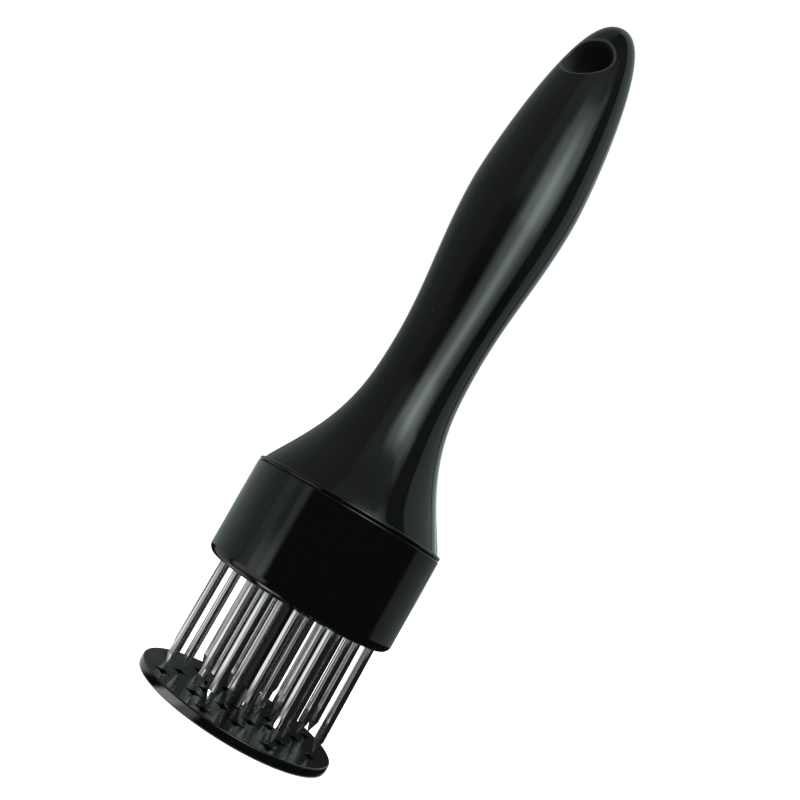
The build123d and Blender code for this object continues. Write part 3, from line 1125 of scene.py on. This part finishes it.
@dataclass
class GuardPlate(SubAssembly):
    """The round plate that the blades pass through, with the rod's boss in its middle."""

    carrier = Carrier.GUARD
    radius: float = 25.9
    thickness: float = 2.4
    edge_fillet: float = 0.35
    edge_land: float = 0.03
    fillet_steps: int = 6
    slot_round: float = 0.12
    slot_bulge: float = 0.3
    boss_height: float = 4.6
    boss_base_radius: float = 2.8
    boss_top_radius: float = 1.9
    boss_fillet: float = 0.5
    boss_round: float = 0.25
    boss_bevel: float = 0.07
    boss_segments: int = 64
    rod_radius: float = 1.5
    socket_floor: float = 0.8
    rod_top: float = 65.5
    rod_chamfer: float = 0.3
    star: BladeStar = BladeStar(2.5, 0.95)
    rings: NeedleRings = NeedleRings()
    segments: int = 192

    def plate(self) -> BMesh:
        """Build the plate with its slots and its boss.

        Returns:
            The plate's mesh.
        """
        bm = bmesh.new()
        flat = self.radius - self.edge_fillet
        top = self.thickness
        lathe(bm, [*arc((flat, self.edge_fillet), self.edge_fillet, -90, 0, self.fillet_steps),
                   (self.radius, self.edge_fillet + self.edge_land),
                   (self.radius, top - self.edge_fillet - self.edge_land),
                   *arc((flat, top - self.edge_fillet), self.edge_fillet, 0, 90, self.fillet_steps)],
              self.segments)
        under = circle(bm, flat, 0.0, self.segments)
        over = circle(bm, flat, top, self.segments)
        soft = self.slot_round
        bulge = soft * self.slot_bulge
        levels = [(soft, 0.0), (bulge, bulge), (0.0, soft),
                  (0.0, top - soft), (bulge, top - bulge), (soft, top)]
        below, above = self.rings.holes(bm, self.star, levels)
        foot = self.boss_base_radius + self.boss_fillet
        boss_top = top + self.boss_height
        lathe(bm, [*arc((foot, top + self.boss_fillet), self.boss_fillet, -90, -170, self.fillet_steps),
                   (self.boss_top_radius, boss_top - self.boss_round),
                   (self.boss_top_radius - self.boss_bevel, boss_top - self.boss_bevel),
                   (self.boss_top_radius - self.boss_round, boss_top), (self.rod_radius, boss_top),
                   (self.rod_radius, self.socket_floor), (0.0, self.socket_floor)], self.boss_segments)
        soften(bm)
        fill_flat(bm, under + below, Vector((0, 0, -1)))
        fill_flat(bm, over + above + circle(bm, foot, top, self.boss_segments), Vector((0, 0, 1)))
        return bm

    def rod(self) -> BMesh:
        """Build the guide rod.

        Returns:
            The rod's mesh.
        """
        bm = bmesh.new()
        shoulder = self.rod_top - self.rod_chamfer
        lathe(bm, [(0.0, self.socket_floor), (self.rod_radius, self.socket_floor),
                   (self.rod_radius, shoulder), (self.rod_radius - self.rod_chamfer, self.rod_top),
                   (0.0, self.rod_top)], self.boss_segments)
        soften(bm)
        return bm

    def build(self, rack: FinishRack) -> list[Object]:
        """Build the plate and the rod, and dress the clip and the cup.

        Args:
            rack: The tool's finishes.

        Returns:
            The plate and the rod.
        """
        self.dress(("retaining_clip",), rack.wire)
        self.dress(("spring_cup",), rack.inner)
        return [
            self.publish(self.plate(), "guard_disc", "guard_black", rack.guard, ("guard_plate",)),
            self.publish(self.rod(), "guard_rod", "rod_black", rack.rod, ("guide_rod",)),
        ]


@dataclass
class SpringTrain(SubAssembly):
    """The return spring, and the hidden pieces that hold blades and spring in the handle."""

    bottom: float = 51.1
    top: float = 104.1
    mean_radius: float = 4.2
    wire: float = 0.9
    wire_segments: int = 12
    coils: int = 10
    steps_per_coil: int = 32
    travel: float = 28.0

    def coil(self) -> BMesh:
        """Sweep the wire's round section up the helix.

        Returns:
            The spring's mesh.
        """
        bm = bmesh.new()
        start = Vector((self.mean_radius, 0, self.bottom + self.wire / 2))
        seat = Matrix.Translation(start) @ Matrix.Rotation(math.radians(90), 4, "X")
        verts = bmesh.ops.create_circle(bm, cap_ends=True, radius=self.wire / 2,
                                        segments=self.wire_segments, matrix=seat)["verts"]
        steps = self.coils * self.steps_per_coil
        rise = (self.top - self.bottom - self.wire) / steps
        bmesh.ops.spin(bm, geom=verts[0].link_faces[:], cent=(0, 0, 0), axis=(0, 0, 1), dvec=(0, 0, rise),
                       angle=math.radians(360 * self.coils), steps=steps)
        soften(bm)
        return bm

    def build(self, rack: FinishRack) -> list[Object]:
        """Build the spring and dress the hidden pieces.

        Args:
            rack: The tool's finishes.

        Returns:
            The spring alone.
        """
        self.dress(("needle_block", "spring_seat"), rack.inner)
        self.dress(("clamp_plate",), rack.sheet_steel)
        self.dress(tuple(f"clamp_screw_{number}" for number in range(1, 5)), rack.screw)
        self.dress(("guide_bush",), rack.bush)
        spring = self.publish(self.coil(), "spring_coil", "spring_steel", rack.wire, ("return_spring",))
        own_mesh(spring)
        return [spring]


# ---- Studio ----


@dataclass(frozen=True)
class Lamp:
    """A soft area lamp that shines on the tool."""

    name: str
    place: Point
    size: float
    power: float


@dataclass(frozen=True)
class Card:
    """One bright card: its turn from the camera in degrees, and its limits along the field."""

    left: float
    right: float
    low: float
    high: float
    strength: float
    soft: float
    fade: float


@dataclass(frozen=True)
class CardField:
    """A surface with bright cards on a dark ground, which only reflections see.

    The dome's cards have their limits in levels, and the apron's in distances from the axis.
    """

    name: str
    tint: Colour
    ground: float
    upright: bool
    cards: tuple[Card, ...]


DOME = CardField("reflection_dome", (0.84, 1.0, 0.95), 0.018, True, (
    Card(-190, -154, 235, 700, 0.37, 4, 14),
    Card(-160, -113, 92, 530, 0.26, 14, 35),
    Card(-114, -42, 150, 704, 0.18, 14, 20),
    Card(-48, 84, 227, 630, 0.08, 7, 50),
    Card(-35, 51, 338, 580, 0.24, 8, 40),
    Card(-8, 54, 150, 495, 0.70, 6, 26),
    Card(0, 42, 150, 440, 0.85, 7, 28),
    Card(15, 30.5, 160, 485, 2.20, 8, 45),
    Card(-1, 45, 296, 526, 0.80, 6, 16),
    Card(42, 57, 430, 545, 0.30, 3, 10),
    Card(86, 137, 142, 704, 0.39, 3.5, 10),
    Card(137, 162, 175, 648, 0.50, 3, 13),
    Card(150, 164, 105, 216, 0.55, 3, 10),
    Card(-175, -165, 100, 156, 0.15, 3, 12),
    Card(-165, -102, -50, 95, 0.42, 8, 20),
    Card(-102, -43, -50, 100, 0.29, 5, 20),
    Card(-51.5, -43, -50, 88, 0.28, 2, 18),
    Card(-75, -61, -50, 95, 0.15, 3, 20),
    Card(-64, -43, -50, 20, 0.75, 4, 14),
    Card(94, 160, -50, 108, 0.19, 2.5, 14),
    Card(164, 190, 235, 700, 0.42, 3, 24),
    Card(100, 148, 92, 160, 0.20, 8, 20),
    Card(-154, -116, 532, 700, 0.26, 4, 30),
))

APRON = CardField("reflection_apron", (1.0, 1.0, 0.98), 0.012, False, (
    Card(-80, -36, 60, 900, 0.90, 5, 24),
    Card(-128, -88, 30, 900, 0.42, 5, 10),
    Card(-110, -64, 0, 45, 0.60, 5, 8),
    Card(-46, -29, 0, 42, 2.20, 3, 6),
    Card(-46, -17, 0, 42, 1.40, 3, 6),
))


@dataclass
class Studio:
    """Pale floor, soft lamps, cards that the gloss reflects, and the camera."""

    camera_place: Point = (101.90, -183.83, 49.47)
    camera_aim: Point = (-18.04, -12.64, 75.52)
    camera_roll: float = 30.35
    camera_shift: float = 0.1125
    clip_start: float = 0.01
    clip_end: float = 20.0
    lens: float = 37.46
    floor_half_size: float = 1500.0
    floor_glow: float = 0.72
    sky_light: float = 0.35
    lamp_aim_level: float = 80.0
    dome_radius: float = 630.0
    dome_start: float = 11.0
    dome_steps: int = 24
    field_segments: int = 96
    apron_inside: float = 26.5
    apron_outside: float = 300.0
    apron_level: float = 0.05
    view_turn: float = 29.0
    lamps: tuple[Lamp, ...] = (
        Lamp("key_lamp", (450.0, -500.0, 700.0), 500.0, 9.0),
        Lamp("fill_lamp", (-600.0, -350.0, 500.0), 600.0, 5.0),
        Lamp("back_lamp", (100.0, 700.0, 650.0), 600.0, 5.0),
    )

    def set_camera(self) -> None:
        """Place the camera and make it the scene's own."""
        data = bpy.data.cameras.new("bench_camera")
        data.lens = self.lens
        data.shift_x = self.camera_shift
        data.clip_start = self.clip_start
        data.clip_end = self.clip_end
        camera = put_up(data)
        place = Vector(self.camera_place) * METRE
        aim = Vector(self.camera_aim) * METRE
        level = (aim - place).to_track_quat("-Z", "Y").to_matrix().to_4x4()
        camera.matrix_world = (Matrix.Translation(place) @ level
                               @ Matrix.Rotation(math.radians(self.camera_roll), 4, "Z"))
        bpy.context.scene.camera = camera

    def seen_directly(self, sheet: NodeSheet) -> NodeSocket:
        """One on camera, glossy and transmission rays, and zero on the rest.

        Args:
            sheet: The node sheet of the floor or the world.

        Returns:
            The switch's socket.
        """
        path = sheet.add("ShaderNodeLightPath")
        mirrored = sheet.math("MAXIMUM", path.outputs["Is Glossy Ray"], path.outputs["Is Transmission Ray"])
        return sheet.math("MAXIMUM", path.outputs["Is Camera Ray"], mirrored)

    def lay_floor(self) -> None:
        """Lay the pale floor, which keeps a faint shadow."""
        bm = bmesh.new()
        bmesh.ops.create_grid(bm, x_segments=1, y_segments=1, size=self.floor_half_size)
        material, sheet, shader = blank_material("pale_floor")
        fine = sheet.noise(sheet.add("ShaderNodeTexCoord").outputs["Object"], 40.0, 2.0)
        pale = sheet.mix(fine, (0.80, 0.80, 0.80, 1.0), (0.84, 0.84, 0.84, 1.0))
        sheet.fill(shader, Base_Color=pale, Roughness=0.9, Emission_Color=(1.0, 1.0, 1.0, 1.0),
                   Emission_Strength=sheet.math("MULTIPLY", self.seen_directly(sheet), self.floor_glow))
        put_up(as_mesh(bm, "pale_floor", material))

    def light_world(self) -> None:
        """White where it is seen or mirrored, and a soft grey as light."""
        world = bpy.data.worlds.new("studio_world")
        bpy.context.scene.world = world
        world.use_nodes = True
        sheet = NodeSheet(world.node_tree)
        background = world.node_tree.nodes["Background"]
        background.inputs["Color"].default_value = (1.0, 1.0, 1.0, 1.0)
        sheet.join(sheet.band(self.seen_directly(sheet), 0.0, 1.0, self.sky_light, 1.0),
                   background.inputs["Strength"])

    def hang_lamps(self) -> None:
        """Hang the soft lamps, aimed at the middle of the tool."""
        for lamp in self.lamps:
            data = bpy.data.lights.new(lamp.name, "AREA")
            data.shape = "DISK"
            data.size = lamp.size * METRE
            data.energy = lamp.power
            data.specular_factor = 0.0
            holder = put_up(data)
            place = Vector(lamp.place) * METRE
            holder.location = place
            holder.rotation_mode = "QUATERNION"
            aim = Vector((0.0, 0.0, self.lamp_aim_level * METRE))
            holder.rotation_quaternion = (aim - place).to_track_quat("-Z", "Y")

    def hang_cards(self) -> None:
        """Hang the dome and lay the apron, whose cards only reflections see."""
        rim = (self.apron_outside, self.apron_level)
        dome = arc((0.0, self.apron_level), self.dome_radius, self.dome_start, 90, self.dome_steps)
        for field, outline in ((DOME, [rim, *dome]),
                               (APRON, [(self.apron_inside, self.apron_level), rim])):
            bm = bmesh.new()
            lathe(bm, outline, self.field_segments)
            hung = put_up(as_mesh(bm, field.name, self.card_material(field)))
            for ray in ("camera", "diffuse", "transmission", "volume_scatter", "shadow"):
                setattr(hung, f"visible_{ray}", False)

    def card_material(self, field: CardField) -> Material:
        """Paint one field's cards by direction: bright boxes and strips on a dark ground.

        Args:
            field: The field that carries the cards.

        Returns:
            The field's material.
        """
        material, sheet, shader = blank_material(f"{field.name}_cards")
        sheet.tree.nodes.remove(shader)
        mapping = sheet.add("ShaderNodeMapping")
        sheet.fill(mapping, Vector=sheet.add("ShaderNodeTexCoord").outputs["Object"],
                   Rotation=(0.0, 0.0, math.radians(90 - self.view_turn)))
        front, side, height = sheet.split(mapping.outputs[0])
        turn = sheet.math("MULTIPLY", sheet.math("ARCTAN2", side, front), 180 / math.pi)
        along = height if field.upright else sheet.length(side, front)
        reach = sheet.math("MULTIPLY", along, 1 / METRE)
        glow = field.ground
        for card in field.cards:
            across = sheet.window(turn, card.left, card.right, card.soft)
            up = sheet.window(reach, card.low, card.high, card.fade)
            glow = sheet.math("ADD", sheet.math("MULTIPLY", across, up, card.strength), glow)
        emission = sheet.add("ShaderNodeEmission")
        sheet.fill(emission, Color=(*field.tint, 1.0), Strength=glow)
        sheet.join(emission.outputs[0], sheet.tree.nodes["Material Output"].inputs["Surface"])
        return material


def main() -> None:
    """Build the tool and its studio in order."""
    logging.basicConfig(level=logging.INFO, format="%(message)s")
    rack = FinishRack()
    pieces: list[Object] = []
    for assembly in (HandleShells(), Collar(), NeedleField(), GuardPlate(), SpringTrain()):
        pieces += assembly.build(rack)
    log.info("%d pieces built", len(pieces))
    studio = Studio()
    studio.lay_floor()
    studio.hang_cards()
    studio.light_world()
    studio.hang_lamps()
    studio.set_camera()
    bpy.context.scene.view_settings.view_transform = "Standard"


if __name__ == "__main__":
    main()
